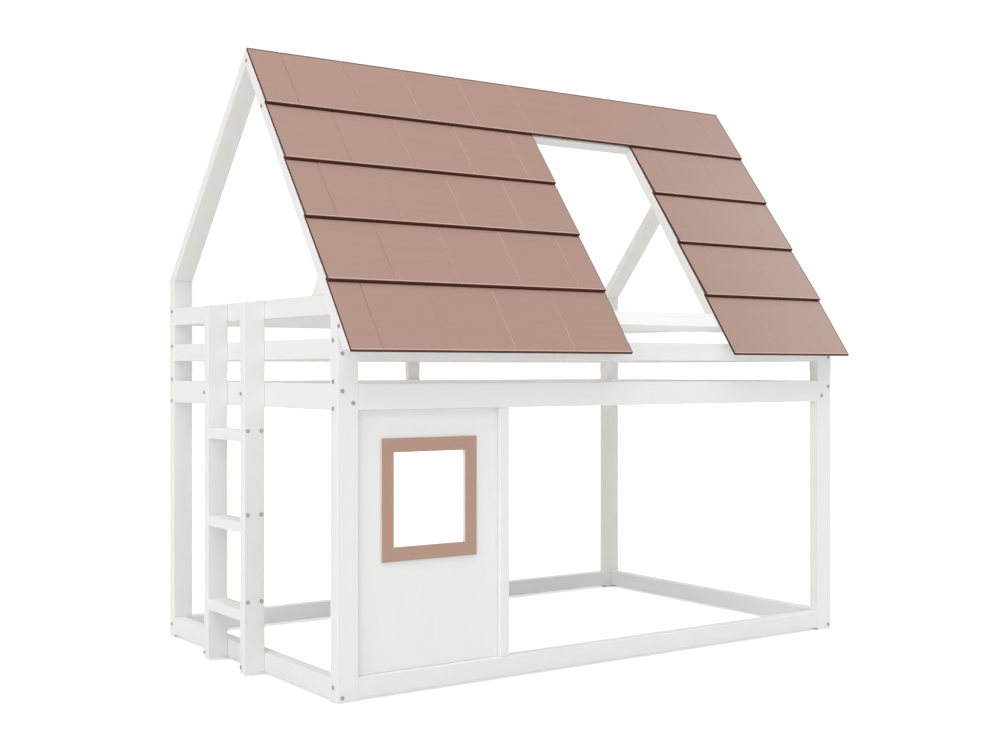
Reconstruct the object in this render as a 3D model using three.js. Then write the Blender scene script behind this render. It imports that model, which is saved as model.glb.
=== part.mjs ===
// House bunk bed: a high single bed in a timber house frame, with a boarded front roof slope
// round a skylight, a window beside the open lower space and a ladder on the left end.
// Millimetres. +X runs along the bed to the right, +Y to the back, +Z up.
import * as THREE from 'three';

// Whole frame
const length = 2090;
const width = 1288;
const postWidth = 70;
const postDepth = 43;
const railThickness = 43;

// Rails, as heights above the floor
const floorRailLift = 9;
const floorRailHeight = 61;
const bedRailBottom = 852;
const bedRailHeight = 78;
const guardBottom = 1002;
const guardHeight = 60;
const topGuardBottom = 1132;
const backStileWidth = 54;
const backStileThickness = 25;

// House outline: the rafters' outer planes meet at the ridge
const ridgeHeight = 2021;
const ridgeInset = 629;
const frontPlaneHeight = 1134;
const backPostHeight = 1294;
const rafterWidth = 70;
const rafterDepth = 34;
const rafterFootHeight = 1029;
const gussetBase = 78;

// Purlins in the rafters' depth, between the end rafters
const purlinWidth = 58;
const ridgePurlinMargin = 9;
const eavePurlinRise = 42.5;

// Roof boards: five courses share the slope, and each laps over the next one down
const boardThickness = 8;
const boardLap = 14;
const roofTopMargin = 6;
const eaveOverhang = 138;
const exposureShares = [0.206, 0.194, 0.194, 0.2, 0.206];
const skylightWidth = 465;

// V-grooves part each board into tiles; the tile over a joint of the pattern is wider
const tileWidth = 231;
const jointTileWidth = 240;
const narrowTileWidth = 107;
const topFirstTileWidth = 118;
const grooveWidth = 5;
const grooveDepth = 3;

// Window beside the lower space
const windowBayWidth = 506.5;
const windowStileWidth = 34;
const panelRecess = 17;
const panelThickness = 8;
const frameThickness = 8;
const frameOuterWidth = 339.5;
const frameOuterHeight = 368.5;
const frameMemberWidth = 42.5;
const frameSillHeight = 397.5;

// Ladder on the left end
const ladderWidth = 320;
const stringerThickness = 34;
const stringerDepth = 70;
const ladderLift = 8;
const ladderTop = 1185;
const rungThickness = 34;
const firstRungHeight = 174;
const lowerRungPitch = 278.5;
const upperRungPitch = 290.5;

// Slatted bed base
const ledgerWidth = 30;
const ledgerHeight = 30;
const ledgerLift = 8;
const centreBeamWidth = 70;
const centreBeamHeight = 34;
const slatWidth = 70;
const slatThickness = 18;
const deckSlatCount = 8;
const deckBattenWidth = 40;
const deckClearance = 3;

// Joints and edges
const seatGap = 0.3;
const edgeEase = 1.5;

// Colours as photographed
const paintColour = 0xeeedea;
const roseColour = 0xb89686;
const slatColour = 0xd9c3a0;

const rightX = length - postWidth;
const backY = width - postDepth;
const floorRailTop = floorRailLift + floorRailHeight;
const bedRailTop = bedRailBottom + bedRailHeight;
const guardTop = guardBottom + guardHeight;
const topGuardTop = topGuardBottom + guardHeight;
const frontPitch = Math.atan2(ridgeHeight - frontPlaneHeight, ridgeInset);
const backPitch = Math.atan2(ridgeHeight - backPostHeight, width - ridgeInset);

const bed = new THREE.Group();
const roof = new THREE.Group();
roof.position.set(0, ridgeInset, ridgeHeight);
roof.rotation.x = Math.PI + frontPitch;
bed.add(roof);

function painted() {
  return new THREE.MeshStandardMaterial({ color: paintColour, roughness: 0.55, metalness: 0 });
}

function rose() {
  return new THREE.MeshStandardMaterial({ color: roseColour, roughness: 0.6, metalness: 0 });
}

function bareWood() {
  return new THREE.MeshStandardMaterial({ color: slatColour, roughness: 0.7, metalness: 0 });
}

function outline(points) {
  return new THREE.Shape(points.map(([a, b]) => new THREE.Vector2(a, b)));
}

function rectanglePoints(a0, b0, a1, b1) {
  return [[a0, b0], [a1, b0], [a1, b1], [a0, b1]];
}

// A plank cut to an outline, with eased edges round both faces
function plank(shape, thickness) {
  const geometry = new THREE.ExtrudeGeometry(shape, {
    depth: thickness - 2 * edgeEase,
    bevelThickness: edgeEase,
    bevelSize: edgeEase,
    bevelOffset: -edgeEase,
    bevelSegments: 1,
  });
  geometry.translate(0, 0, edgeEase);
  return geometry;
}

function addMesh(name, geometry, finish, parent) {
  const mesh = new THREE.Mesh(geometry, finish);
  mesh.name = name;
  parent.add(mesh);
  return mesh;
}

// Outline in Y and Z, thickness along X
function crossPlank(name, points, x, thickness) {
  const mesh = addMesh(name, plank(outline(points), thickness), painted(), bed);
  const basis = new THREE.Matrix4().makeBasis(
    new THREE.Vector3(0, 1, 0), new THREE.Vector3(0, 0, 1), new THREE.Vector3(1, 0, 0));
  mesh.quaternion.setFromRotationMatrix(basis);
  mesh.position.x = x;
  return mesh;
}

// Outline in X and Z, thickness along Y from the front face at y
function longPlank(name, shape, y, thickness, finish = painted()) {
  const mesh = addMesh(name, plank(shape, thickness), finish, bed);
  mesh.rotation.x = Math.PI / 2;
  mesh.position.y = y + thickness;
  return mesh;
}

// Outline in X and Y, thickness up from z
function flatPlank(name, shape, z, thickness, finish, parent = bed) {
  const mesh = addMesh(name, plank(shape, thickness), finish, parent);
  mesh.position.z = z;
  return mesh;
}

// Height and place of a line at a depth below the rafters' outer planes
function frontPlaneZ(y, depth) {
  return frontPlaneHeight + y * Math.tan(frontPitch) - depth / Math.cos(frontPitch);
}

function frontPlaneY(z, depth) {
  return (z - frontPlaneHeight + depth / Math.cos(frontPitch)) / Math.tan(frontPitch);
}

function backPlaneY(z, depth) {
  return ridgeInset + (ridgeHeight - z - depth / Math.cos(backPitch)) / Math.tan(backPitch);
}

// Where a line at a depth below the front plane crosses one at a depth below the back plane
function planesMeet(frontDepth, backDepth) {
  const front = Math.tan(frontPitch);
  const back = Math.tan(backPitch);
  const frontDrop = frontDepth / Math.cos(frontPitch);
  const backDrop = backDepth / Math.cos(backPitch);
  const y = ridgeInset + (frontDrop - backDrop) / (front + back);
  return [y, ridgeHeight + (y - ridgeInset) * front - frontDrop];
}

const undersideDepth = rafterDepth + seatGap;
const skylightX = length / 2;
const skylightEndX = skylightX + skylightWidth;
const slopeLength = Math.hypot(ridgeInset, ridgeHeight - frontPlaneHeight);
const coveredLength = slopeLength + eaveOverhang - roofTopMargin;
const exposures = exposureShares.map((share) => share * coveredLength);
const lapPurlinDistance = roofTopMargin + exposures[0] - purlinWidth;
const eavePurlinDistance = slopeLength - eavePurlinRise;

// What is left of an outline in Y and Z below the front rafters
function cutUnderRafter(points) {
  const room = ([y, z]) => frontPlaneZ(y, undersideDepth) - z;
  const kept = [];
  points.forEach((point, index) => {
    const next = points[(index + 1) % points.length];
    if (room(point) >= 0) kept.push(point);
    if (room(point) * room(next) < 0) {
      const share = room(point) / (room(point) - room(next));
      kept.push(point.map((value, axis) => value + share * (next[axis] - value)));
    }
  });
  return kept;
}

// Front posts are bevelled under the rafters, back posts are cut level
function addPosts() {
  const front = cutUnderRafter(rectanglePoints(0, 0, postDepth, ridgeHeight));
  const back = rectanglePoints(backY, 0, width, backPostHeight - seatGap);
  crossPlank('front_left_post', front, 0, postWidth);
  crossPlank('front_right_post', front, rightX, postWidth);
  crossPlank('back_left_post', back, 0, postWidth);
  crossPlank('back_right_post', back, rightX, postWidth);
}

// Each end has a front rafter up to the back slope's plane and a back rafter butted under it
function addEndRafters() {
  const front = [
    [frontPlaneY(rafterFootHeight, rafterDepth), rafterFootHeight],
    planesMeet(rafterDepth, 0),
    [ridgeInset, ridgeHeight],
    [frontPlaneY(rafterFootHeight, 0), rafterFootHeight],
  ];
  const back = [
    planesMeet(undersideDepth, rafterDepth),
    [backPlaneY(backPostHeight, rafterDepth), backPostHeight],
    [width, backPostHeight],
    planesMeet(undersideDepth, 0),
  ];
  crossPlank('left_front_rafter', front, 0, rafterWidth);
  crossPlank('left_back_rafter', back, 0, rafterWidth);
  crossPlank('right_front_rafter', front, length - rafterWidth, rafterWidth);
  crossPlank('right_back_rafter', back, length - rafterWidth, rafterWidth);
}

// Full-length purlins, and a trimmer each side of the skylight between the lower two
function addPurlinsAndTrimmers() {
  const start = rafterWidth + seatGap;
  const end = length - rafterWidth - seatGap;
  const purlins = {
    ridge_purlin: ridgePurlinMargin,
    lap_purlin: lapPurlinDistance,
    eave_purlin: eavePurlinDistance,
  };
  for (const [name, distance] of Object.entries(purlins)) {
    const points = rectanglePoints(start, distance, end, distance + purlinWidth);
    flatPlank(name, outline(points), 0, rafterDepth, painted(), roof);
  }
  const upper = lapPurlinDistance + purlinWidth + seatGap;
  const lower = eavePurlinDistance - seatGap;
  const trimmers = {
    skylight_left_trimmer: skylightX - rafterWidth,
    skylight_right_trimmer: skylightEndX,
  };
  for (const [name, x] of Object.entries(trimmers)) {
    const points = rectanglePoints(x, upper, x + rafterWidth, lower);
    flatPlank(name, outline(points), 0, rafterDepth, painted(), roof);
  }
}

// Rails between the posts at each end; the top guard is cut along the rafter
function addEndRails() {
  const rails = {
    floor_rail: [floorRailLift, floorRailTop],
    bed_rail: [bedRailBottom, bedRailTop],
    guard_rail: [guardBottom, guardTop],
    top_guard_rail: [topGuardBottom, topGuardTop],
  };
  for (const [name, [bottom, top]] of Object.entries(rails)) {
    const whole = rectanglePoints(postDepth + seatGap, bottom, backY - seatGap, top);
    const points = cutUnderRafter(whole);
    crossPlank(`left_${name}`, points, 0, railThickness);
    crossPlank(`right_${name}`, points, length - railThickness, railThickness);
  }
}

// Triangular blocks between the top guard and the rafter, on the outer faces
function addGussets() {
  const base = topGuardTop + seatGap;
  const start = frontPlaneY(base, undersideDepth);
  const points = [
    [start, base],
    [start + gussetBase, base],
    [start + gussetBase / 2, base + Math.tan(frontPitch) * gussetBase / 2],
  ];
  crossPlank('left_gusset', points, 0, railThickness);
  crossPlank('right_gusset', points, length - railThickness, railThickness);
}

function addLongRails() {
  const spans = {
    floor_rail: [floorRailLift, floorRailTop],
    bed_rail: [bedRailBottom, bedRailTop],
    guard_rail: [guardBottom, guardTop],
  };
  const start = postWidth + seatGap;
  const end = rightX - seatGap;
  const rearFace = width - railThickness;
  for (const [name, [bottom, top]] of Object.entries(spans)) {
    const shape = outline(rectanglePoints(start, bottom, end, top));
    longPlank(`front_${name}`, shape, 0, railThickness);
    longPlank(`back_${name}`, shape, rearFace, railThickness);
  }
  const topGuard = outline(rectanglePoints(start, topGuardBottom, end, topGuardTop));
  longPlank('back_top_guard_rail', topGuard, rearFace, railThickness);
}

// Upright batten screwed across the outer faces of the back rails at mid-length
function addBackStile() {
  const start = (length - backStileWidth) / 2;
  const points = rectanglePoints(start, bedRailBottom, start + backStileWidth, topGuardTop);
  longPlank('back_stile', outline(points), width + seatGap, backStileThickness);
}

// Recessed panel between the front left post and a stile, with the framed opening
function addWindow() {
  const stileX = postWidth + windowBayWidth;
  const bottom = floorRailTop + seatGap;
  const top = bedRailBottom - seatGap;
  const stile = rectanglePoints(stileX, bottom, stileX + windowStileWidth, top);
  longPlank('window_stile', outline(stile), 0, railThickness);

  const frameX = postWidth + (windowBayWidth - frameOuterWidth) / 2;
  const outer = rectanglePoints(
    frameX, frameSillHeight, frameX + frameOuterWidth, frameSillHeight + frameOuterHeight);
  const opening = rectanglePoints(
    frameX + frameMemberWidth,
    frameSillHeight + frameMemberWidth,
    frameX + frameOuterWidth - frameMemberWidth,
    frameSillHeight + frameOuterHeight - frameMemberWidth);

  const panel = outline(rectanglePoints(postWidth + seatGap, bottom, stileX - seatGap, top));
  panel.holes.push(outline(opening));
  longPlank('window_panel', panel, panelRecess, panelThickness);

  const frame = outline(outer);
  frame.holes.push(outline(opening));
  longPlank('window_frame', frame, panelRecess - seatGap - frameThickness, frameThickness, rose());
}

function addLadder() {
  const start = (width - ladderWidth) / 2;
  const faceX = -stringerDepth - seatGap;
  const stringers = {
    ladder_front_stringer: start,
    ladder_back_stringer: start + ladderWidth - stringerThickness,
  };
  for (const [name, y] of Object.entries(stringers)) {
    const points = rectanglePoints(y, ladderLift, y + stringerThickness, ladderTop);
    crossPlank(name, points, faceX, stringerDepth);
  }
  const rungStart = start + stringerThickness + seatGap;
  const rungEnd = start + ladderWidth - stringerThickness - seatGap;
  let z = firstRungHeight;
  [lowerRungPitch, upperRungPitch, 0].forEach((pitch, index) => {
    const points = rectanglePoints(rungStart, z, rungEnd, z + rungThickness);
    crossPlank(`ladder_rung_${index + 1}`, points, faceX, stringerDepth);
    z += pitch;
  });
}

// Cross section of a board, with a V-groove in its outer face at each place along it
function boardSection(boardLength, grooves) {
  const points = [[0, 0], [boardLength, 0], [boardLength, boardThickness]];
  for (const x of [...grooves].reverse()) {
    points.push([x + grooveWidth / 2, boardThickness]);
    points.push([x, boardThickness - grooveDepth]);
    points.push([x - grooveWidth / 2, boardThickness]);
  }
  points.push([0, boardThickness]);
  return outline(points);
}

// Places of the grooves, where the step after groove number wideStep is the wider one
function groovePlaces(boardLength, first, wideStep) {
  const places = [];
  let x = first;
  while (x < boardLength - grooveWidth) {
    x += places.push(x) - 1 === wideStep ? jointTileWidth : tileWidth;
  }
  return places;
}

function addBoard(name, course, startX, endX, grooves) {
  const section = boardSection(endX - startX, grooves);
  const boardWidth = course.bottom - course.top;
  const geometry = new THREE.ExtrudeGeometry(section, { depth: boardWidth, bevelEnabled: false });
  const mesh = addMesh(name, geometry, rose(), roof);
  mesh.position.set(startX, course.top, -seatGap);
  mesh.rotation.x = -Math.PI / 2 - course.tilt;
}

// Top and bottom edge of each course down the slope, and its tilt where it laps the next one
function roofCourses() {
  const courses = [];
  let covered = roofTopMargin;
  for (const exposure of exposures) {
    const lap = courses.length === 0 ? 0 : boardLap;
    courses.push({ top: covered - lap, bottom: covered + exposure, tilt: 0 });
    covered += exposure;
  }
  courses.slice(0, -1).forEach((course, index) => {
    const pitch = courses[index + 1].top - course.top;
    course.tilt = Math.asin((boardThickness + seatGap) / pitch);
  });
  return courses;
}

// The first course is whole, the others stop each side of the skylight
function addRoofBoards() {
  const rightLength = length - skylightEndX;
  roofCourses().forEach((course, index) => {
    const name = `roof_board_${index + 1}`;
    if (index === 0) {
      addBoard(name, course, 0, length, groovePlaces(length, topFirstTileWidth, -1));
      return;
    }
    const even = index % 2 === 1;
    const leftFirst = even ? tileWidth : narrowTileWidth;
    const rightFirst = even ? narrowTileWidth : tileWidth;
    addBoard(`${name}_left`, course, 0, skylightX, groovePlaces(skylightX, leftFirst, 1));
    addBoard(`${name}_right`, course, skylightEndX, length, groovePlaces(rightLength, rightFirst, 0));
  });
}

// One half of the bed base: cross slats joined by a batten along each side
function deckShape(startX, endX, startY, endY) {
  const shape = outline(rectanglePoints(startX, startY, endX, endY));
  const gap = (endX - startX - deckSlatCount * slatWidth) / (deckSlatCount - 1);
  for (let slat = 1; slat < deckSlatCount; slat += 1) {
    const x = startX + slat * slatWidth + (slat - 1) * gap;
    const hole = rectanglePoints(x, startY + deckBattenWidth, x + gap, endY - deckBattenWidth);
    shape.holes.push(outline(hole));
  }
  return shape;
}

// Ledgers inside the bed rails and a centre beam carry the slatted halves
function addBedBase() {
  const startX = railThickness + seatGap;
  const endX = length - railThickness - seatGap;
  const ledgerBottom = bedRailBottom + ledgerLift;
  const seat = ledgerBottom + ledgerHeight;
  const frontFace = railThickness + seatGap;
  const rearFace = width - railThickness - seatGap;
  const ledgers = {
    front_ledger: frontFace,
    back_ledger: rearFace - ledgerWidth,
  };
  for (const [name, y] of Object.entries(ledgers)) {
    const shape = outline(rectanglePoints(startX, ledgerBottom, endX, seat));
    longPlank(name, shape, y, ledgerWidth);
  }
  const beam = outline(rectanglePoints(startX, seat - centreBeamHeight, endX, seat));
  longPlank('bed_centre_beam', beam, (width - centreBeamWidth) / 2, centreBeamWidth);

  const near = frontFace + deckClearance;
  const far = rearFace - deckClearance;
  const deckZ = seat + seatGap;
  const left = deckShape(startX + deckClearance, skylightX - seatGap, near, far);
  const right = deckShape(skylightX + seatGap, endX - deckClearance, near, far);
  flatPlank('slat_deck_left', left, deckZ, slatThickness, bareWood());
  flatPlank('slat_deck_right', right, deckZ, slatThickness, bareWood());
}

addPosts();
addEndRafters();
addPurlinsAndTrimmers();
addEndRails();
addGussets();
addLongRails();
addBackStile();
addWindow();
addLadder();
addRoofBoards();
addBedBase();

// The origin is the middle of the bounding box on the floor
const bounds = new THREE.Box3().setFromObject(bed);
const middle = bounds.getCenter(new THREE.Vector3());
bed.position.set(-middle.x, -middle.y, -bounds.min.z);

export default bed;
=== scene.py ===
# %% [markdown]
# # A house bunk bed, dressed round its frame
# The timber parts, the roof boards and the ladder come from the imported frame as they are. This
# script gives them their finishes, adds the bolts that hold the bed together, and sets up a pale
# studio with a camera at the photograph's viewing angle. Everything is in metres.

# %% Load the frame
import math

import bmesh
import bpy
from mathutils import Matrix, Vector


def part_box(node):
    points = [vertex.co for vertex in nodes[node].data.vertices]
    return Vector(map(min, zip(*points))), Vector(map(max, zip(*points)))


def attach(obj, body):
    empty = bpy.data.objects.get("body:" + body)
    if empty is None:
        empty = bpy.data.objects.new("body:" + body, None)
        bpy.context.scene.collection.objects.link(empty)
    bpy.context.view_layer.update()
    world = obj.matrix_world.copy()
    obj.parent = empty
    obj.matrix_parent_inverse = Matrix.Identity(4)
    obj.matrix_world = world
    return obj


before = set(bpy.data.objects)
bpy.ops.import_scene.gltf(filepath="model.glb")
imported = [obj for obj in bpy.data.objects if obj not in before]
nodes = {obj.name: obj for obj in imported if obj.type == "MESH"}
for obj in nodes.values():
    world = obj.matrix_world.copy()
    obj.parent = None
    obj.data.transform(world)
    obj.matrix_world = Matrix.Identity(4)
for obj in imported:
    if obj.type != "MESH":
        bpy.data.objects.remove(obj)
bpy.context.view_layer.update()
print("timber parts:", len(nodes))

# %% [markdown]
# ## The corner that everything is measured from
# The bolts and the camera are placed from the outer bottom corner of the front left post, the way
# a joiner marks out from one face and one edge. The other corners come from the frame's own boxes.

# %% Datum corner and overall sizes
post_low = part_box("front_left_post")[0]
corner = Vector((post_low.x, post_low.y, 0.0))
bed_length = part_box("front_right_post")[1].x - corner.x
bed_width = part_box("back_left_post")[1].y - corner.y
half_length = bed_length / 2
print("bed length and width:", round(bed_length, 4), round(bed_width, 4))

# %% [markdown]
# ## Camera
# The photograph was taken level, from the front and the left, so the upright edges stay upright.
# A level camera with a small upward crop is a shift, not a tilt: tilting would make the posts lean.

# %% Camera
CAMERA_FROM_CORNER = Vector((-1.9137, -3.5689, 0.970))
CAMERA_YAW = math.radians(34.9)
LENS_MM = 50.01
SENSOR_MM = 36.0
SHIFT_X = -0.0004
SHIFT_Y = -0.0051
CLIP_END = 1000.0
QUARTER_TURN = math.radians(90)

camera_data = bpy.data.cameras.new("camera")
camera_data.lens = LENS_MM
camera_data.sensor_width = SENSOR_MM
camera_data.shift_x = SHIFT_X
camera_data.shift_y = SHIFT_Y
camera_data.clip_end = CLIP_END
camera = bpy.data.objects.new("camera", camera_data)
camera.location = corner + CAMERA_FROM_CORNER
camera.rotation_euler = (QUARTER_TURN, 0, -CAMERA_YAW)
bpy.context.scene.collection.objects.link(camera)
bpy.context.scene.camera = camera
print("camera height:", round(camera.location.z, 3))

# %% [markdown]
# ## Helpers for building shader nodes
# Materials and groups are built by the same few small functions, so each finish below reads as a
# list of nodes and links. The names of inputs are given as keywords, with _ for each space.

# %% Node helpers
def add_node(tree, kind, **settings):
    node = tree.nodes.new(kind)
    for name, value in settings.items():
        setattr(node, name, value)
    return node


def set_inputs(node, **values):
    for name, value in values.items():
        node.inputs[name.replace("_", " ")].default_value = value
    return node


def new_material(name):
    material = bpy.data.materials.new(name)
    material.use_nodes = True
    tree = material.node_tree
    shader = tree.nodes["Principled BSDF"]
    return material, tree, shader


# %% [markdown]
# ## Small wiring helpers
# Ramps, colour mixes and lists of group sockets come up in nearly every material, so each has a
# short function, and so does a mask that should reach less than full strength. A Mix node has
# several sockets with the same name, which is why its sockets are found by identifier.

# %% Wiring helpers
def add_range(tree, value, low, high, to_low, to_high):
    spread = add_node(tree, "ShaderNodeMapRange")
    set_inputs(spread, From_Min=low, From_Max=high, To_Min=to_low, To_Max=to_high)
    tree.links.new(value, spread.inputs["Value"])
    return spread.outputs["Result"]


def scaled(tree, mask, share):
    return add_range(tree, mask, 0.0, 1.0, 0.0, share)


def socket_called(sockets, identifier):
    return next(socket for socket in sockets if socket.identifier == identifier)


def add_mix(tree, factor, colour_a, colour_b):
    mix = add_node(tree, "ShaderNodeMix", data_type="RGBA")
    for identifier, colour in (("A_Color", colour_a), ("B_Color", colour_b)):
        socket = socket_called(mix.inputs, identifier)
        if isinstance(colour, tuple):
            socket.default_value = colour
        else:
            tree.links.new(colour, socket)
    tree.links.new(factor, socket_called(mix.inputs, "Factor_Float"))
    return socket_called(mix.outputs, "Result_Color")


def add_sockets(group, direction, kind, names):
    for name in names:
        group.interface.new_socket(name, in_out=direction, socket_type=kind)


# %% [markdown]
# ## A coat over timber as a shared group
# Every finish on this bed lies over pine or pressed board, so each shows some grain: faint streaks
# under paint, strong ones on bare slats. One group makes all of it from two noises. The first is
# stretched along the grain and mixes two tones, and the second is slow and cloudy and varies the
# sheen. Noise is better than a wave here, because real growth lines never repeat evenly.

# %% Coat group
STREAK_DETAIL = 5.0
STREAK_ROUGHNESS = 0.6
CLOUD_SCALE = 2.2
CLOUD_DETAIL = 2.0
CLOUD_LOW = 0.3
CLOUD_HIGH = 0.7


def make_coat_group():
    group = bpy.data.node_groups.new("timber_coat", "ShaderNodeTree")
    add_sockets(group, "INPUT", "NodeSocketVector", ("Position",))
    add_sockets(group, "INPUT", "NodeSocketColor", ("Ground", "Streak"))
    add_sockets(group, "INPUT", "NodeSocketFloat", ("Fineness", "Waviness", "Streaks From"))
    add_sockets(group, "INPUT", "NodeSocketFloat", ("Streaks To", "Roughness", "Sheen Change"))
    add_sockets(group, "OUTPUT", "NodeSocketColor", ("Colour",))
    add_sockets(group, "OUTPUT", "NodeSocketFloat", ("Roughness", "Height"))
    start = add_node(group, "NodeGroupInput")
    end = add_node(group, "NodeGroupOutput")
    streaks = add_node(group, "ShaderNodeTexNoise")
    set_inputs(streaks, Detail=STREAK_DETAIL, Roughness=STREAK_ROUGHNESS)
    clouds = add_node(group, "ShaderNodeTexNoise")
    set_inputs(clouds, Scale=CLOUD_SCALE, Detail=CLOUD_DETAIL)
    links = group.links
    links.new(start.outputs["Position"], streaks.inputs["Vector"])
    links.new(start.outputs["Fineness"], streaks.inputs["Scale"])
    links.new(start.outputs["Waviness"], streaks.inputs["Distortion"])
    links.new(start.outputs["Position"], clouds.inputs["Vector"])
    spread = add_node(group, "ShaderNodeMapRange")
    links.new(streaks.outputs["Fac"], spread.inputs["Value"])
    links.new(start.outputs["Streaks From"], spread.inputs["From Min"])
    links.new(start.outputs["Streaks To"], spread.inputs["From Max"])
    tones = add_mix(group, spread.outputs["Result"], start.outputs["Ground"],
                    start.outputs["Streak"])
    links.new(tones, end.inputs["Colour"])
    sheen = add_node(group, "ShaderNodeMath", operation="MULTIPLY_ADD")
    cloudy = add_range(group, clouds.outputs["Fac"], CLOUD_LOW, CLOUD_HIGH, -1.0, 1.0)
    links.new(cloudy, sheen.inputs[0])
    links.new(start.outputs["Sheen Change"], sheen.inputs[1])
    links.new(start.outputs["Roughness"], sheen.inputs[2])
    links.new(sheen.outputs["Value"], end.inputs["Roughness"])
    links.new(streaks.outputs["Fac"], end.inputs["Height"])
    return group


coat_group = make_coat_group()
print("coat sockets:", len(coat_group.interface.items_tree))

# %% [markdown]
# ## Grain that follows each plank
# Grain runs along a plank, so a post, a rail and a rafter each need the pattern turned their own
# way. A Mapping node turns the object's coordinates until the plank lies along X, and then
# squeezes X so that the noise draws out into streaks.

# %% Plank directions
GRAIN_STRETCH_SHARE = 0.05


def rafter_pitch(name):
    low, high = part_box(name)
    return math.atan2(high.z - low.z, high.y - low.y)


FRONT_PITCH = rafter_pitch("left_front_rafter")
BACK_PITCH = rafter_pitch("left_back_rafter")
PLANK_TURNS = {
    "along_length": (0.0, 0.0, 0.0),
    "along_width": (0.0, 0.0, -QUARTER_TURN),
    "upright": (0.0, QUARTER_TURN, 0.0),
    "up_front_slope": (0.0, FRONT_PITCH, -QUARTER_TURN),
    "up_back_slope": (0.0, -BACK_PITCH, -QUARTER_TURN),
}
print("pitches:", round(math.degrees(FRONT_PITCH), 1), round(math.degrees(BACK_PITCH), 1))


def add_coat(tree, shader, direction, **values):
    coordinates = add_node(tree, "ShaderNodeTexCoord")
    turn = add_node(tree, "ShaderNodeMapping")
    turn.inputs["Rotation"].default_value = PLANK_TURNS[direction]
    squeeze = add_node(tree, "ShaderNodeMapping")
    squeeze.inputs["Scale"].default_value = (GRAIN_STRETCH_SHARE, 1.0, 1.0)
    coat = set_inputs(add_node(tree, "ShaderNodeGroup", node_tree=coat_group), **values)
    tree.links.new(coordinates.outputs["Object"], turn.inputs["Vector"])
    tree.links.new(turn.outputs["Vector"], squeeze.inputs["Vector"])
    tree.links.new(squeeze.outputs["Vector"], coat.inputs["Position"])
    tree.links.new(coat.outputs["Roughness"], shader.inputs["Roughness"])
    return coat


def add_bump(tree, shader, height, size):
    strength, distance = size
    bump = set_inputs(add_node(tree, "ShaderNodeBump"), Strength=strength, Distance=distance)
    tree.links.new(height, bump.inputs["Height"])
    tree.links.new(bump.outputs["Normal"], shader.inputs["Normal"])


# %% [markdown]
# ## White satin paint on pine
# The frame is sprayed a soft white. Close to, the pine still shows through as very faint streaks
# and slow changes of tone. Two nearly equal whites mixed by the grain give that, and a slight bump
# from the same grain breaks up the sheen.

# %% White paint
PAINT_LIGHT = (0.876, 0.877, 0.866, 1.0)
PAINT_DARK = (0.867, 0.868, 0.857, 1.0)
PAINT_BUMP = (0.04, 0.0003)
PAINT_COAT = {
    "Fineness": 90.0,
    "Waviness": 0.3,
    "Streaks_From": 0.35,
    "Streaks_To": 0.65,
    "Roughness": 0.48,
    "Sheen_Change": 0.05,
}


def make_white_paint(direction):
    material, tree, shader = new_material(f"white_satin_paint_{direction}")
    coat = add_coat(tree, shader, direction, Ground=PAINT_DARK, Streak=PAINT_LIGHT, **PAINT_COAT)
    tree.links.new(coat.outputs["Colour"], shader.inputs["Base Color"])
    add_bump(tree, shader, coat.outputs["Height"], PAINT_BUMP)
    return material


white_paints = {direction: make_white_paint(direction) for direction in PLANK_TURNS}
print("white paints:", len(white_paints))

# %% [markdown]
# ## Which way a surface is turned, as a shared group
# Only the two faces of a roof board are rose, and their cut edges are brown. The frame round the
# window has rose faces and pale sides. In both, the surface's direction tells face from edge, so
# one group compares the normal with a direction and gives a mask: full on what is turned that
# way, and nothing on what is turned away. A second output counts both sides of a board alike.

# %% Facing group
def make_facing_group():
    group = bpy.data.node_groups.new("turned_towards", "ShaderNodeTree")
    add_sockets(group, "INPUT", "NodeSocketVector", ("Direction",))
    add_sockets(group, "INPUT", "NodeSocketFloat", ("Nothing Below", "Full Above"))
    add_sockets(group, "OUTPUT", "NodeSocketFloat", ("This Side", "Either Side"))
    start = add_node(group, "NodeGroupInput")
    end = add_node(group, "NodeGroupOutput")
    surface = add_node(group, "ShaderNodeNewGeometry")
    compare = add_node(group, "ShaderNodeVectorMath", operation="DOT_PRODUCT")
    group.links.new(surface.outputs["True Normal"], compare.inputs[0])
    group.links.new(start.outputs["Direction"], compare.inputs[1])
    either = add_node(group, "ShaderNodeMath", operation="ABSOLUTE")
    group.links.new(compare.outputs["Value"], either.inputs[0])
    for turned, name in ((compare, "This Side"), (either, "Either Side")):
        mask = add_node(group, "ShaderNodeMapRange")
        group.links.new(turned.outputs["Value"], mask.inputs["Value"])
        group.links.new(start.outputs["Nothing Below"], mask.inputs["From Min"])
        group.links.new(start.outputs["Full Above"], mask.inputs["From Max"])
        group.links.new(mask.outputs["Result"], end.inputs[name])
    return group


facing_group = make_facing_group()
print("facing sockets:", len(facing_group.interface.items_tree))


def add_facing(tree, direction, low, high):
    facing = add_node(tree, "ShaderNodeGroup", node_tree=facing_group)
    return set_inputs(facing, Direction=direction, Nothing_Below=low, Full_Above=high)


# %% [markdown]
# ## Painted light and shade in the grooves
# A V-groove shows as a thin pair of lines, both painted: the wall turned to the right gets a painted
# shade in the brown of the edges, and the one turned to the left a painted highlight. The pale line
# is plainest along the middle of the roof and missing at the left end, and both lines fade to the
# right. A wall's own direction tells the two apart, and ramps along the roof set their strengths.

# %% Groove tones
PALE_WALL = (-1.0, 0.0, 0.0)
SHADED_WALL = (1.0, 0.0, 0.0)
WALL_BELOW = 0.3
WALL_ABOVE = 0.6
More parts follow.
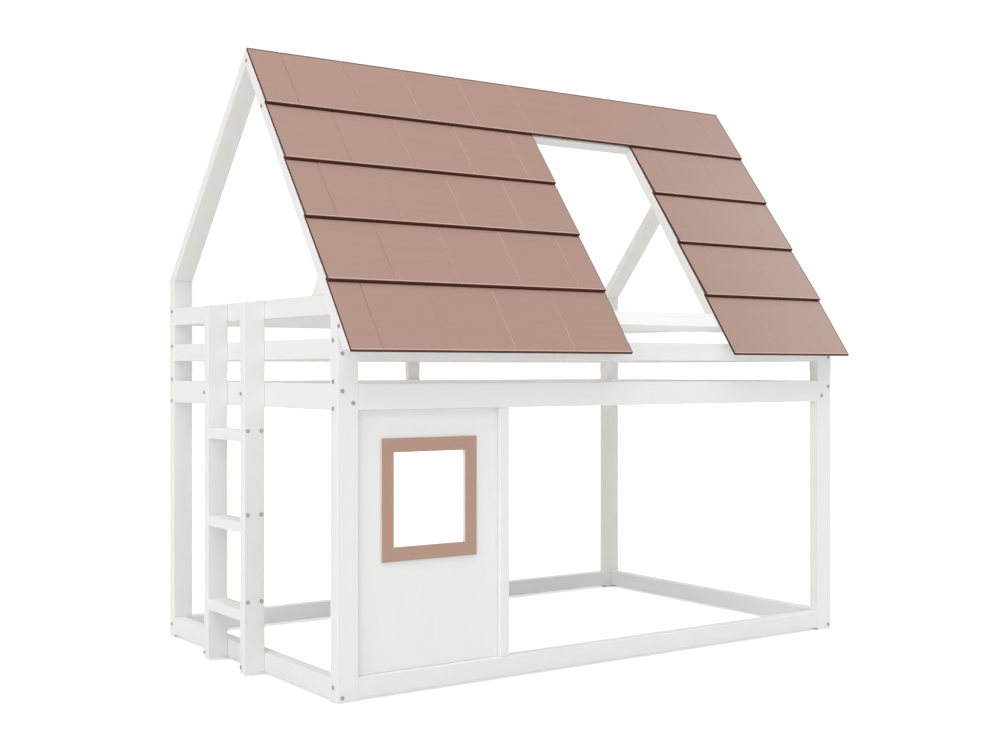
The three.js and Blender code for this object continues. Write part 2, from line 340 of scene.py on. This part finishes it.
# Ramps run between two places, given as shares of the half length from the middle of the bed.
PALE_RISE_SHARES = (-1.0, -0.4)
PALE_FALL_SHARES = (-0.2, 0.5)
PALE_WALL_SHARE = 0.45
PALE_FADED_SHARE = 0.22
SHADED_FALL_SHARES = (0.0, 0.4)
SHADED_WALL_SHARE = 0.45


def split_position(tree):
    coordinates = add_node(tree, "ShaderNodeTexCoord")
    split = add_node(tree, "ShaderNodeSeparateXYZ")
    tree.links.new(coordinates.outputs["Object"], split.inputs["Vector"])
    return split.outputs


def add_join(tree, masks, operation):
    total = masks[0]
    for mask in masks[1:]:
        join = add_node(tree, "ShaderNodeMath", operation=operation)
        tree.links.new(total, join.inputs[0])
        tree.links.new(mask, join.inputs[1])
        total = join.outputs["Value"]
    return total


def add_ramp_along(tree, along, places, first, last):
    start, end = (share * half_length for share in places)
    return add_range(tree, along, start, end, first, last)


def add_wall(tree, direction):
    return add_facing(tree, direction, WALL_BELOW, WALL_ABOVE).outputs["This Side"]


# Painted highlight on the groove wall turned to the left.
def add_painted_highlight_wall(tree, along):
    rise = add_ramp_along(tree, along, PALE_RISE_SHARES, 0.0, 1.0)
    fall = add_ramp_along(tree, along, PALE_FALL_SHARES, 1.0, PALE_FADED_SHARE)
    line = add_join(tree, [add_wall(tree, PALE_WALL), rise, fall], "MULTIPLY")
    return scaled(tree, line, PALE_WALL_SHARE)


# Painted shade, in edge brown, on the groove wall turned to the right.
def add_painted_shade_wall(tree, along):
    fall = add_ramp_along(tree, along, SHADED_FALL_SHARES, SHADED_WALL_SHARE, 0.0)
    return add_join(tree, [add_wall(tree, SHADED_WALL), fall], "MULTIPLY")


# %% [markdown]
# ## Lines along the laps
# Two thin lines run along each lap. A brown line covers the board's eased lower edge, which is
# brown, and goes on as a painted shadow over a narrow strip of the board below it. Just over it, a
# painted highlight lightens the rose. Both are bands of height, and the heights come from the
# boards' own lower edges, so the lines stay on the laps. The eave has no board below it, so its
# brown line is only the edge and is narrower.

# %% Lap bands
# Painted shadow: the part of each lap band below the lap height lies on the board below, where the
# lap casts shade. The rest is the brown edge.
LAP_EDGE_AND_SHADOW = (-0.0033, 0.0075)
EAVE_STAIN = (-0.0010, 0.0071)
# Painted highlight: a band of this height just over each brown line is lightened.
HIGHLIGHT_HEIGHT = 0.0030
LAPPING_BOARDS = ("roof_board_1", "roof_board_2_left", "roof_board_3_left", "roof_board_4_left")
lap_heights = [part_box(board)[0].z for board in LAPPING_BOARDS]
eave_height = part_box("roof_board_5_left")[0].z
print("lap heights:", [round(height, 4) for height in lap_heights])


# Bands of brown edge, with painted shadow below each lap.
def edge_and_shadow_bands():
    bands = [(height + LAP_EDGE_AND_SHADOW[0], height + LAP_EDGE_AND_SHADOW[1]) for height in lap_heights]
    return bands + [(eave_height + EAVE_STAIN[0], eave_height + EAVE_STAIN[1])]


# Painted highlight bands, just over the brown lines.
def painted_highlight_bands():
    tops = [band[1] for band in edge_and_shadow_bands()]
    return [(top, top + HIGHLIGHT_HEIGHT) for top in tops]


def add_band(tree, value, low, high):
    band = add_node(tree, "ShaderNodeMath", operation="COMPARE")
    band.inputs[1].default_value = (low + high) / 2
    band.inputs[2].default_value = (high - low) / 2
    tree.links.new(value, band.inputs[0])
    return band.outputs["Value"]


def add_bands(tree, value, bands):
    return add_join(tree, [add_band(tree, value, low, high) for low, high in bands], "MAXIMUM")


# %% [markdown]
# ## Worn rims
# Where a board ends against nothing, at the ridge, beside the skylight and at the right-hand
# verge, its eased corner lets some brown through. These are bands too. The one beside the skylight
# counts only below the first lap, because the top board runs past the skylight unbroken.

# %% Rims
RIDGE_RIM = 0.0046
VERGE_RIM = 0.0045
SKYLIGHT_RIM = 0.0028
ridge_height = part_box("roof_board_1")[1].z
verge_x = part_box("roof_board_1")[1].x
skylight_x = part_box("roof_board_5_left")[1].x
print("ridge height:", round(ridge_height, 4), "verge at x:", round(verge_x, 4))


def add_rims(tree, position):
    ridge = add_band(tree, position["Z"], ridge_height - RIDGE_RIM, ridge_height + RIDGE_RIM)
    verge = add_band(tree, position["X"], verge_x - VERGE_RIM, verge_x + VERGE_RIM)
    opening = add_band(tree, position["X"], skylight_x - SKYLIGHT_RIM, skylight_x)
    below = add_band(tree, position["Z"], 0.0, lap_heights[0])
    beside = add_join(tree, [opening, below], "MULTIPLY")
    return add_join(tree, [ridge, verge, beside], "MAXIMUM")


# %% [markdown]
# ## Rose paint
# The rose coat is a flat, slightly chalky paint over smooth board, so the grain is hardly there: a
# few per cent of tone and a faint bump. Chalky paint reflects little, and a low specular level
# also keeps the brown edges deep instead of grey. To the right of the skylight a painted sheen
# makes the boards a little lighter and greyer, least near the ridge. Inside, the boards are white
# like the frame, which is why so much soft light reaches the rails under the roof.

# %% Rose paint
ROSE_GROUND = (0.404, 0.264, 0.220, 1.0)
ROSE_STREAK = (0.415, 0.273, 0.228, 1.0)
# Painted sheen: the lighter, greyer rose towards the right-hand verge.
ROSE_SHEEN_TONE = (0.465, 0.338, 0.297, 1.0)
# Painted highlight: the tone of the light groove walls and of the band over each lap.
ROSE_HIGHLIGHT = (0.700, 0.530, 0.470, 1.0)
# The brown of cut edges and worn rims, also used as painted shade on groove walls.
EDGE_AND_SHADE_BROWN = (0.098, 0.034, 0.020, 1.0)
# Painted shadow under each lap, continuing the brown lower edge.
EDGE_AND_SHADOW_BROWN = (0.080, 0.027, 0.016, 1.0)
# Strength of the painted highlight over each lap.
HIGHLIGHT_SHARE = 0.70
RIM_SHARE = 0.75
SHEEN_STARTS = 0.35
SHEEN_AT_RIDGE_SHARE = 0.4
ROSE_SPECULAR = 0.12
ROSE_COAT = {
    "Fineness": 70.0,
    "Waviness": 0.5,
    "Streaks_From": 0.3,
    "Streaks_To": 0.7,
    "Roughness": 0.45,
    "Sheen_Change": 0.05,
}
ROOF_FACING = (0.0, -math.sin(FRONT_PITCH), math.cos(FRONT_PITCH))
ROOF_INSIDE = (0.0, math.sin(FRONT_PITCH), -math.cos(FRONT_PITCH))
EDGE_BELOW = 0.40
FACE_ABOVE = 0.50


def add_rose_coat(tree, shader, ground, streak):
    coat = add_coat(tree, shader, "along_length", Ground=ground, Streak=streak, **ROSE_COAT)
    add_bump(tree, shader, coat.outputs["Height"], PAINT_BUMP)
    set_inputs(shader, Specular_IOR_Level=ROSE_SPECULAR)
    return coat.outputs["Colour"]


# Painted sheen: the rose turns lighter and greyer towards the right-hand verge, less near the ridge.
def add_painted_sheen(tree, position, rose):
    along = add_range(tree, position["X"], SHEEN_STARTS, verge_x, 0.0, 1.0)
    down = add_range(tree, position["Z"], lap_heights[1], ridge_height, 1.0,
                     SHEEN_AT_RIDGE_SHARE)
    return add_mix(tree, add_join(tree, [along, down], "MULTIPLY"), rose, ROSE_SHEEN_TONE)


# Over the rose: painted highlights and painted shade in the grooves, painted highlights over the
# laps, worn brown rims, then brown edges with painted shadow under the laps.
def add_wear_and_painted_light(tree, position, rose):
    lap_highlight = add_bands(tree, position["Z"], painted_highlight_bands())
    layers = (
        (add_painted_highlight_wall(tree, position["X"]), ROSE_HIGHLIGHT),
        (add_painted_shade_wall(tree, position["X"]), EDGE_AND_SHADE_BROWN),
        (scaled(tree, lap_highlight, HIGHLIGHT_SHARE), ROSE_HIGHLIGHT),
        (scaled(tree, add_rims(tree, position), RIM_SHARE), EDGE_AND_SHADE_BROWN),
        (add_bands(tree, position["Z"], edge_and_shadow_bands()), EDGE_AND_SHADOW_BROWN),
    )
    for mask, tone in layers:
        rose = add_mix(tree, mask, rose, tone)
    return rose


def make_roof_rose():
    material, tree, shader = new_material("rose_paint_roof_boards")
    position = split_position(tree)
    rose = add_rose_coat(tree, shader, ROSE_GROUND, ROSE_STREAK)
    rose = add_wear_and_painted_light(tree, position, add_painted_sheen(tree, position, rose))
    outside = add_facing(tree, ROOF_FACING, EDGE_BELOW, FACE_ABOVE).outputs["This Side"]
    inside = add_facing(tree, ROOF_INSIDE, EDGE_BELOW, FACE_ABOVE).outputs["This Side"]
    colour = add_mix(tree, outside, EDGE_AND_SHADE_BROWN, rose)
    colour = add_mix(tree, inside, colour, PAINT_LIGHT)
    tree.links.new(colour, shader.inputs["Base Color"])
    return material


roof_rose = make_roof_rose()
print("nodes in the roof's rose:", len(roof_rose.node_tree.nodes))

# %% [markdown]
# ## The window frame's own rose
# The same coat, a shade lighter, covers the front of the window frame. Its sides are cut after
# painting and only primed, so they show as a thin pale line all round.

# %% Window rose
WINDOW_GROUND = (0.480, 0.308, 0.243, 1.0)
WINDOW_STREAK = (0.491, 0.317, 0.250, 1.0)
PRIMED_SIDE = (0.860, 0.780, 0.725, 1.0)
WINDOW_FACING = (0.0, -1.0, 0.0)


def make_window_rose():
    material, tree, shader = new_material("rose_paint_window_frame")
    rose = add_rose_coat(tree, shader, WINDOW_GROUND, WINDOW_STREAK)
    face = add_facing(tree, WINDOW_FACING, EDGE_BELOW, FACE_ABOVE).outputs["Either Side"]
    tree.links.new(add_mix(tree, face, PRIMED_SIDE, rose), shader.inputs["Base Color"])
    return material


window_rose = make_window_rose()
print("nodes in the window's rose:", len(window_rose.node_tree.nodes))

# %% [markdown]
# ## Bare pine for the slats
# Nobody paints the slats under a mattress. They keep the pale colour of planed pine, with darker
# growth lines along their length.

# %% Bare pine
PINE_GROUND = (0.860, 0.800, 0.730, 1.0)
PINE_STREAK = (0.760, 0.670, 0.570, 1.0)
PINE_BUMP = (0.3, 0.001)
PINE_COAT = {
    "Fineness": 45.0,
    "Waviness": 0.8,
    "Streaks_From": 0.42,
    "Streaks_To": 0.7,
    "Roughness": 0.6,
    "Sheen_Change": 0.08,
}


def make_bare_pine():
    material, tree, shader = new_material("bare_pine")
    coat = add_coat(tree, shader, "along_width", Ground=PINE_GROUND, Streak=PINE_STREAK,
                    **PINE_COAT)
    tree.links.new(coat.outputs["Colour"], shader.inputs["Base Color"])
    add_bump(tree, shader, coat.outputs["Height"], PINE_BUMP)
    return material


bare_pine = make_bare_pine()
print("nodes in the pine:", len(bare_pine.node_tree.nodes))

# %% [markdown]
# ## Zinc-plated steel and pale caps for the bolts
# Bolt heads are small, dull and grey. A fine noise in tone and roughness stops them from looking
# like mirrors. The bolts through the rungs have a pale cap pressed into the key recess, so from a
# distance they read as rings. Both finishes come from the same function with other tones.

# %% Steel and caps
STEEL_LIGHT = (0.540, 0.540, 0.535, 1.0)
STEEL_DARK = (0.430, 0.430, 0.434, 1.0)
STEEL_METALLIC = 0.7
CAP_METALLIC = 0.0
CAP_LIGHT = (0.880, 0.880, 0.870, 1.0)
CAP_DARK = (0.820, 0.820, 0.810, 1.0)
MOTTLE_SCALE = 900.0
MOTTLE_DETAIL = 3.0
MOTTLE_RANGE = (0.3, 0.7)
MOTTLE_ROUGHNESS = (0.35, 0.5)


def make_mottled(name, light, dark, metallic):
    material, tree, shader = new_material(name)
    set_inputs(shader, Metallic=metallic)
    coordinates = add_node(tree, "ShaderNodeTexCoord")
    mottle = add_node(tree, "ShaderNodeTexNoise")
    set_inputs(mottle, Scale=MOTTLE_SCALE, Detail=MOTTLE_DETAIL)
    tree.links.new(coordinates.outputs["Object"], mottle.inputs["Vector"])
    spread = add_range(tree, mottle.outputs["Fac"], *MOTTLE_RANGE, 0.0, 1.0)
    tree.links.new(add_mix(tree, spread, dark, light), shader.inputs["Base Color"])
    gloss = add_range(tree, mottle.outputs["Fac"], *MOTTLE_RANGE, *MOTTLE_ROUGHNESS)
    tree.links.new(gloss, shader.inputs["Roughness"])
    return material


steel = make_mottled("zinc_plated_steel", STEEL_LIGHT, STEEL_DARK, STEEL_METALLIC)
key_cap = make_mottled("pale_key_cap", CAP_LIGHT, CAP_DARK, CAP_METALLIC)
print("bolt finishes:", steel.name, key_cap.name)

# %% [markdown]
# ## Which finish goes where
# The node's name says which way the plank lies, so the finish can be chosen from it.

# %% Assign the finishes
def plank_direction(name):
    if "front_rafter" in name or "trimmer" in name:
        return "up_front_slope"
    if "back_rafter" in name:
        return "up_back_slope"
    if "post" in name or "stile" in name or "stringer" in name or name == "window_panel":
        return "upright"
    if "rung" in name or name.startswith(("left_", "right_")):
        return "along_width"
    return "along_length"


def finish_for(name):
    if name.startswith("roof_board"):
        return roof_rose
    if name == "window_frame":
        return window_rose
    if name.startswith("slat_deck"):
        return bare_pine
    return white_paints[plank_direction(name)]


for name, node in nodes.items():
    node.data.materials.clear()
    node.data.materials.append(finish_for(name))
print("finishes in use:", len({finish_for(name).name for name in nodes}))

# %% [markdown]
# ## Bolt heads
# The bed is bolted together with socket-head bolts let into the timber, so only a low round head
# shows, with a six-sided recess for the key. Each head is a short cylinder whose rim is bevelled
# and whose middle is inset and pushed in. One head is made facing +Z, then copied and turned.

# %% One bolt head
BOLT_RADIUS = 0.0065
BOLT_PROUD = 0.0020
BOLT_SUNK = 0.0008
RIM_BEVEL = 0.0008
RIM_SEGMENTS = 3
KEY_RADIUS = 0.0030
KEY_DEPTH = 0.0014
KEY_SIDES = 6
BOLT_SIDES = 24
print("bolt head width:", 2 * BOLT_RADIUS)


def hexagon_reach(angle):
    half_side = math.pi / KEY_SIDES
    return math.cos(half_side) / math.cos(angle % (2 * half_side) - half_side)


def make_bolt_mesh(key_finish_number):
    shape = bmesh.new()
    height = BOLT_PROUD + BOLT_SUNK
    bmesh.ops.create_cone(shape, cap_ends=True, segments=BOLT_SIDES, radius1=BOLT_RADIUS,
                          radius2=BOLT_RADIUS, depth=height)
    bmesh.ops.translate(shape, verts=shape.verts, vec=(0, 0, height / 2 - BOLT_SUNK))
    top = max(shape.faces, key=lambda face: face.normal.z)
    bmesh.ops.bevel(shape, geom=list(top.edges), offset=RIM_BEVEL, affect="EDGES",
                    segments=RIM_SEGMENTS, profile=0.5, material=-1)
    top = max(shape.faces, key=lambda face: face.normal.z * face.calc_area())
    inner = BOLT_RADIUS - RIM_BEVEL - KEY_RADIUS
    bmesh.ops.inset_region(shape, faces=[top], thickness=inner, use_even_offset=True)
    for corner_point in top.verts:
        angle = math.atan2(corner_point.co.y, corner_point.co.x)
        reach = KEY_RADIUS * hexagon_reach(angle)
        corner_point.co.x = reach * math.cos(angle)
        corner_point.co.y = reach * math.sin(angle)
    bmesh.ops.inset_region(shape, faces=[top], thickness=0.0, use_even_offset=True)
    bmesh.ops.translate(shape, verts=top.verts, vec=(0, 0, -KEY_DEPTH))
    top.material_index = key_finish_number
    mesh = bpy.data.meshes.new("bolt_head")
    shape.to_mesh(mesh)
    shape.free()
    return mesh


# %% [markdown]
# ## Where the bolts sit
# Each corner of the frame has the same bolts, so the places are read off the front left corner
# once and mirrored to the other three. A place is an offset across the post and a height.

# %% Bolt places
FROM_END = (0.0242, (0.0456, 0.8575, 0.9357, 1.0562))
TOP_GUARD_HEIGHT = 1.182
FROM_FRONT = ((0.0165, 0.0166), (0.0523, 0.8735), (0.0168, 0.9085), (0.0165, 1.0178))
RAFTER_BOLTS = ((-0.0106, 1.0972), (0.5082, 1.8132), (0.6226, 1.9798))
RUNG_BOLT_X = (-0.0587, -0.0125)
RUNG_BOLT_HEIGHTS = (0.2356, 0.5110, 0.7771)
STRINGER_BOLT_Y = (0.5110, 0.8020)
STRINGER_BOLT_HEIGHTS = (0.0276, 0.8945)

FACING_TURNS = {
    "-X": Matrix.Rotation(-QUARTER_TURN, 4, "Y"),
    "+X": Matrix.Rotation(QUARTER_TURN, 4, "Y"),
    "-Y": Matrix.Rotation(QUARTER_TURN, 4, "X"),
    "+Y": Matrix.Rotation(-QUARTER_TURN, 4, "X"),
}


def corner_bolts():
    places = []
    across, heights = FROM_END
    for facing, x in (("-X", 0.0), ("+X", bed_length)):
        for y in (across, bed_width - across):
            places += [(facing, x, y, height) for height in heights]
        places.append((facing, x, bed_width - across, TOP_GUARD_HEIGHT))
        places += [(facing, x, y, height) for y, height in RAFTER_BOLTS]
    for facing, y in (("-Y", 0.0), ("+Y", bed_width)):
        for offset, height in FROM_FRONT:
            places += [(facing, x, y, height) for x in (offset, bed_length - offset)]
    return places


def stringer_bolts():
    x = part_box("ladder_front_stringer")[0].x - corner.x
    return [("-X", x, y, height) for height in STRINGER_BOLT_HEIGHTS for y in STRINGER_BOLT_Y]


def rung_bolts():
    near_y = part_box("ladder_front_stringer")[0].y - corner.y
    far_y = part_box("ladder_back_stringer")[1].y - corner.y
    places = []
    for height in RUNG_BOLT_HEIGHTS:
        for x in RUNG_BOLT_X:
            places += [("-Y", x, near_y, height), ("+Y", x, far_y, height)]
    return places


# %% [markdown]
# ## Placing the bolts
# The bolts of the frame are one piece, together with the four that fix the ladder to it. The bolts
# through the ladder's rungs are another. Each starts as a single head, and every copy is turned to
# its face and moved to its place before it joins the piece. The last finish in the list goes on the
# floor of the key recess.

# %% Place the bolts
def join_bolts(name, places, finishes):
    head = make_bolt_mesh(len(finishes) - 1)
    shape = bmesh.new()
    for facing, x, y, z in places:
        copy = head.copy()
        copy.transform(Matrix.Translation(corner + Vector((x, y, z))) @ FACING_TURNS[facing])
        shape.from_mesh(copy)
        bpy.data.meshes.remove(copy)
    bmesh.ops.recalc_face_normals(shape, faces=shape.faces)
    mesh = bpy.data.meshes.new(name)
    shape.to_mesh(mesh)
    shape.free()
    bpy.data.meshes.remove(head)
    for finish in finishes:
        mesh.materials.append(finish)
    piece = bpy.data.objects.new(name, mesh)
    bpy.context.scene.collection.objects.link(piece)
    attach(piece, "root")


frame_places = corner_bolts() + stringer_bolts()
rung_places = rung_bolts()
join_bolts("frame_bolts", frame_places, [steel])
join_bolts("ladder_bolts", rung_places, [steel, key_cap])
print("bolts:", len(frame_places) + len(rung_places))

# %% [markdown]
# ## Pale studio floor
# The photograph has a white ground with no edge, so the floor is very wide and pale. It throws soft
# light up under the rails. To the camera it looks a little brighter than it lights the bed, because
# a ground that is truly that bright would bleach the undersides.

# %% Floor
FLOOR_HALF = 400.0
FLOOR_WHITE = (0.82, 0.82, 0.82, 1.0)
FLOOR_ROUGHNESS = 0.9
FLOOR_GLOW = 0.55
GLOW_WHITE = (1.0, 1.0, 1.0, 1.0)


def seen_directly(tree, extra, base):
    """A strength that is higher where the camera looks straight at the surface."""
    path = add_node(tree, "ShaderNodeLightPath")
    strength = add_node(tree, "ShaderNodeMath", operation="MULTIPLY_ADD")
    tree.links.new(path.outputs["Is Camera Ray"], strength.inputs[0])
    strength.inputs[1].default_value = extra
    strength.inputs[2].default_value = base
    return strength.outputs["Value"]


def make_floor():
    shape = bmesh.new()
    bmesh.ops.create_grid(shape, x_segments=1, y_segments=1, size=FLOOR_HALF)
    mesh = bpy.data.meshes.new("floor")
    shape.to_mesh(mesh)
    shape.free()
    floor = bpy.data.objects.new("floor", mesh)
    bpy.context.scene.collection.objects.link(floor)
    material, tree, shader = new_material("pale_floor")
    set_inputs(shader, Base_Color=FLOOR_WHITE, Roughness=FLOOR_ROUGHNESS, Specular_IOR_Level=0.0)
    set_inputs(shader, Emission_Color=GLOW_WHITE)
    tree.links.new(seen_directly(tree, FLOOR_GLOW, 0.0), shader.inputs["Emission Strength"])
    mesh.materials.append(material)


make_floor()
print("floor width:", 2 * FLOOR_HALF)

# %% [markdown]
# ## World and suns
# Tops are brightest, the front and the left end are nearly as bright, and undersides are greyest. A
# white world gives the even part. Three broad suns give the rest: one from the front and left, and
# two from high up, one leaning to the front and one to the back. Suns are better than panels here,
# because they reach the far floor as strongly as the near one. Like the floor, the world looks
# brighter to the camera than it lights the bed.

# %% World and suns
WORLD_COLOUR = (1.0, 1.0, 1.0, 1.0)
WORLD_STRENGTH = 0.37
WORLD_SEEN_EXTRA = 0.68
# Each sun has a name, a strength, a spread in degrees and the direction towards it.
SUNS = (
    ("front_left", 1.07, 60, Vector((-0.72, -0.50, 0.48))),
    ("over_front", 1.35, 60, Vector((-0.05, -0.28, 0.96))),
    ("over_back", 0.85, 60, Vector((0.10, 0.45, 0.89))),
)


def make_world():
    world = bpy.data.worlds.new("studio")
    world.use_nodes = True
    tree = world.node_tree
    background = tree.nodes["Background"]
    background.inputs["Color"].default_value = WORLD_COLOUR
    strength = seen_directly(tree, WORLD_SEEN_EXTRA, WORLD_STRENGTH)
    tree.links.new(strength, background.inputs["Strength"])
    bpy.context.scene.world = world


def make_sun(name, strength, spread, towards):
    data = bpy.data.lights.new(name, "SUN")
    data.energy = strength
    data.angle = math.radians(spread)
    sun = bpy.data.objects.new(name, data)
    sun.rotation_euler = towards.to_track_quat("Z", "Y").to_euler()
    bpy.context.scene.collection.objects.link(sun)


make_world()
for name, strength, spread, towards in SUNS:
    make_sun(name, strength, spread, towards)
bpy.context.scene.view_settings.view_transform = "Standard"
print("suns:", len(SUNS))
